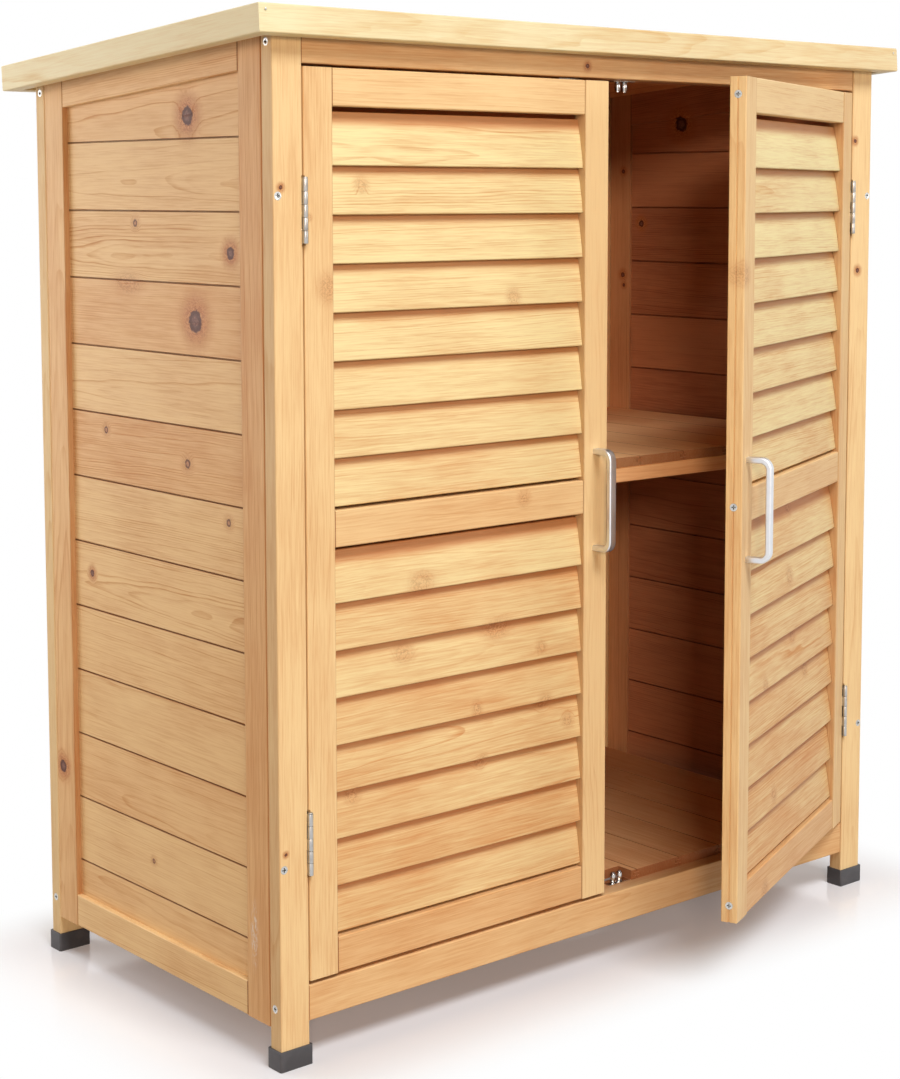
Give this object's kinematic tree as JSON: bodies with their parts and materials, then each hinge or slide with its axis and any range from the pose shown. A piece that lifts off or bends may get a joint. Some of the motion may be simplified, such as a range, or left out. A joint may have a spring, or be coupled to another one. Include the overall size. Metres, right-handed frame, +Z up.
{
  "type": "tool shed",
  "caption": "Small softwood tool shed with louvred swing doors, plank walls, an inner shelf and floor, and a pitched felt roof with fascias, standing on capped feet.",
  "frame": {"origin": "on the ground under the middle of the whole shed, with the left door shut and the right door ajar", "axes": "+Z up, -Y the front with the doors, +X to the right as seen from the front"},
  "size_m": [0.87, 0.6219, 0.9649],
  "materials": {
    "pine_frame": "stained satin",
    "pine_planks": "stained satin",
    "pine_louvres": "stained satin",
    "pine_boards": "stained, sawn",
    "roof_felt": "mineral felt",
    "foot_plastic": "matte",
    "handle_aluminium": "satin",
    "hinge_steel": "zinc plated",
    "catch_steel": "zinc plated",
    "roller_steel": "nickel plated",
    "screw_steel": "zinc plated"
  },
  "bodies": {
    "bottom_left_far_roller": {"bottom_left_far_roller": "roller_steel"},
    "bottom_left_near_roller": {"bottom_left_near_roller": "roller_steel"},
    "bottom_right_far_roller": {"bottom_right_far_roller": "roller_steel"},
    "bottom_right_near_roller": {"bottom_right_near_roller": "roller_steel"},
    "cabinet": {"catch_brackets": "catch_steel", "feet": "foot_plastic", "floor_boards": "pine_boards", "floor_rear_cleat": "pine_boards", "frame_screws": "screw_steel", "front_bottom_rail": "pine_frame", "front_left_post": "pine_frame", "front_right_post": "pine_frame", "front_top_rail": "pine_frame", "hinge_frame_leaves": "hinge_steel", "hinge_pins": "hinge_steel", "left_wall_bottom_rail": "pine_frame", "left_wall_planks": "pine_planks", "left_wall_stiles": "pine_frame", "left_wall_top_rail": "pine_frame", "rear_bottom_rail": "pine_frame", "rear_left_post": "pine_frame", "rear_right_post": "pine_frame", "rear_top_rail": "pine_frame", "rear_wall_planks": "pine_planks", "right_wall_bottom_rail": "pine_frame", "right_wall_planks": "pine_planks", "right_wall_stiles": "pine_frame", "right_wall_top_rail": "pine_frame", "roof_boards": "pine_boards", "roof_felt": "roof_felt", "roof_front_fascia": "pine_frame", "roof_left_fascia": "pine_frame", "roof_rear_fascia": "pine_frame", "roof_right_fascia": "pine_frame", "shelf_battens": "pine_boards", "shelf_boards": "pine_boards"},
    "left_door": {"left_door_bottom_rail": "pine_frame", "left_door_catch_tongues": "catch_steel", "left_door_handle": "handle_aluminium", "left_door_hinge_stile": "pine_frame", "left_door_louvres": "pine_louvres", "left_door_meeting_stile": "pine_frame", "left_door_middle_rail": "pine_frame", "left_door_screws": "screw_steel", "left_door_top_rail": "pine_frame", "left_hinge_door_leaves": "hinge_steel"},
    "right_door": {"right_door_bottom_rail": "pine_frame", "right_door_catch_tongues": "catch_steel", "right_door_handle": "handle_aluminium", "right_door_hinge_stile": "pine_frame", "right_door_louvres": "pine_louvres", "right_door_meeting_stile": "pine_frame", "right_door_middle_rail": "pine_frame", "right_door_screws": "screw_steel", "right_door_top_rail": "pine_frame", "right_hinge_door_leaves": "hinge_steel"},
    "top_left_far_roller": {"top_left_far_roller": "roller_steel"},
    "top_left_near_roller": {"top_left_near_roller": "roller_steel"},
    "top_right_far_roller": {"top_right_far_roller": "roller_steel"},
    "top_right_near_roller": {"top_right_near_roller": "roller_steel"}
  },
  "joints": [
    {"name": "left_door_swing", "type": "hinge", "parent": "cabinet", "child": "left_door", "pos_m": [-0.37825, -0.14178, 0.49565], "axis": [0, 0, -1], "range_deg": [0, 175]},
    {"name": "right_door_swing", "type": "hinge", "parent": "cabinet", "child": "right_door", "pos_m": [0.37825, -0.14178, 0.49565], "axis": [0, 0, 1], "range_deg": [-24, 151]},
    {"name": "bottom_left_far_roller_spin", "type": "hinge", "parent": "cabinet", "child": "bottom_left_far_roller", "pos_m": [-0.0428, -0.11498, 0.0799], "axis": [0, 0, 1], "continuous": true},
    {"name": "bottom_left_near_roller_spin", "type": "hinge", "parent": "cabinet", "child": "bottom_left_near_roller", "pos_m": [-0.0332, -0.11498, 0.0799], "axis": [0, 0, 1], "continuous": true},
    {"name": "bottom_right_far_roller_spin", "type": "hinge", "parent": "cabinet", "child": "bottom_right_far_roller", "pos_m": [0.0428, -0.11498, 0.0799], "axis": [0, 0, 1], "continuous": true},
    {"name": "bottom_right_near_roller_spin", "type": "hinge", "parent": "cabinet", "child": "bottom_right_near_roller", "pos_m": [0.0332, -0.11498, 0.0799], "axis": [0, 0, 1], "continuous": true},
    {"name": "top_left_far_roller_spin", "type": "hinge", "parent": "cabinet", "child": "top_left_far_roller", "pos_m": [-0.0428, -0.11498, 0.90999], "axis": [0, 0, 1], "continuous": true},
    {"name": "top_left_near_roller_spin", "type": "hinge", "parent": "cabinet", "child": "top_left_near_roller", "pos_m": [-0.0332, -0.11498, 0.90999], "axis": [0, 0, 1], "continuous": true},
    {"name": "top_right_far_roller_spin", "type": "hinge", "parent": "cabinet", "child": "top_right_far_roller", "pos_m": [0.0428, -0.11498, 0.90999], "axis": [0, 0, 1], "continuous": true},
    {"name": "top_right_near_roller_spin", "type": "hinge", "parent": "cabinet", "child": "top_right_near_roller", "pos_m": [0.0332, -0.11498, 0.90999], "axis": [0, 0, 1], "continuous": true}
  ]
}
